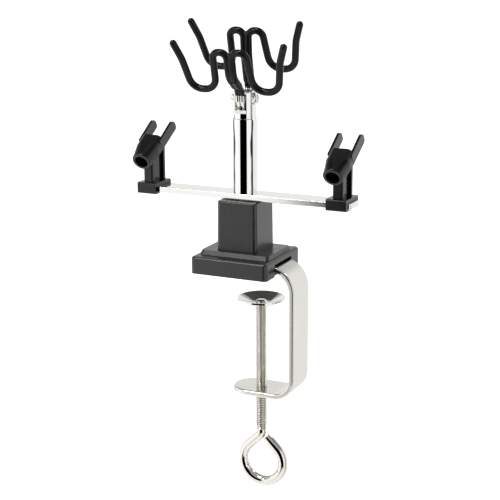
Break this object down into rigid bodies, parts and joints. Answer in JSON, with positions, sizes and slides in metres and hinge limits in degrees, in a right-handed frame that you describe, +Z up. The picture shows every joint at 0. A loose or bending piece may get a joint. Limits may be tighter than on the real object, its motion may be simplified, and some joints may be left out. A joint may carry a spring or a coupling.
{
  "type": "airbrush holder",
  "caption": "Table clamp stand with a short post, a crossbar with clip-on nose cradles and a tilting pair of coated W-shaped wire hooks for pen or pistol tools.",
  "frame": {"origin": "centre of the base underside, on the post axis, where the base rests on the table", "axes": "+Z up along the post, +X along the crossbar towards the clamp bracket's spine, -Y towards the front hooks"},
  "size_m": [0.123, 0.0437, 0.2537],
  "materials": {
    "cover_plastic": "satin",
    "plate_plastic": "matt",
    "strap_steel": "satin nickel plate",
    "zinc_steel": "zinc plate",
    "bar_chrome": "bright",
    "post_chrome": "bright",
    "screw_steel": "bright nickel",
    "wire_steel": "bright",
    "dip_black": "glossy dipped vinyl",
    "cradle_plastic": "semi-gloss",
    "pad_steel": "bright nickel"
  },
  "bodies": {
    "base": {"base_cover": "cover_plastic", "bottom_plate": "plate_plastic", "clamp_bracket": "strap_steel", "centre_stud": "zinc_steel", "stud_nut": "zinc_steel"},
    "turret": {"crossbar": "bar_chrome", "post_plug": "zinc_steel", "post_tube": "post_chrome", "clevis_head": "post_chrome", "pivot_screw": "screw_steel", "pivot_bush": "zinc_steel"},
    "hanger": {"left_hook_wire": "wire_steel", "right_hook_wire": "wire_steel", "front_coating": "dip_black", "rear_coating": "dip_black"},
    "right_clip": {"right_cradle": "cradle_plastic"},
    "left_clip": {"left_cradle": "cradle_plastic"},
    "pad": {"clamp_pad": "pad_steel"},
    "screw": {"clamp_screw": "screw_steel"}
  },
  "joints": [
    {"name": "turret_swivel", "type": "hinge", "parent": "base", "child": "turret", "pos_m": [0, 0, 0.0382], "axis": [0, 0, 1], "continuous": true},
    {"name": "hook_tilt", "type": "hinge", "parent": "turret", "child": "hanger", "pos_m": [0, 0, 0.0907], "axis": [1, 0, 0], "range_deg": [-30, 30]},
    {"name": "right_clip_slide", "type": "slide", "parent": "turret", "child": "right_clip", "axis": [1, 0, 0], "range_m": [-0.026, 0]},
    {"name": "left_clip_slide", "type": "slide", "parent": "turret", "child": "left_clip", "axis": [1, 0, 0], "range_m": [0, 0.026]},
    {"name": "pad_travel", "type": "slide", "parent": "base", "child": "pad", "axis": [0, 0, 1], "range_m": [-0.042, 0.0145]},
    {"name": "screw_turn", "type": "hinge", "parent": "pad", "child": "screw", "pos_m": [0.00915, 0, -0.04], "axis": [0, 0, 1], "continuous": true}
  ],
  "couplings": [
    {"joint": "screw_turn", "follows": "pad_travel", "rad_per_m": 6283.2}
  ]
}
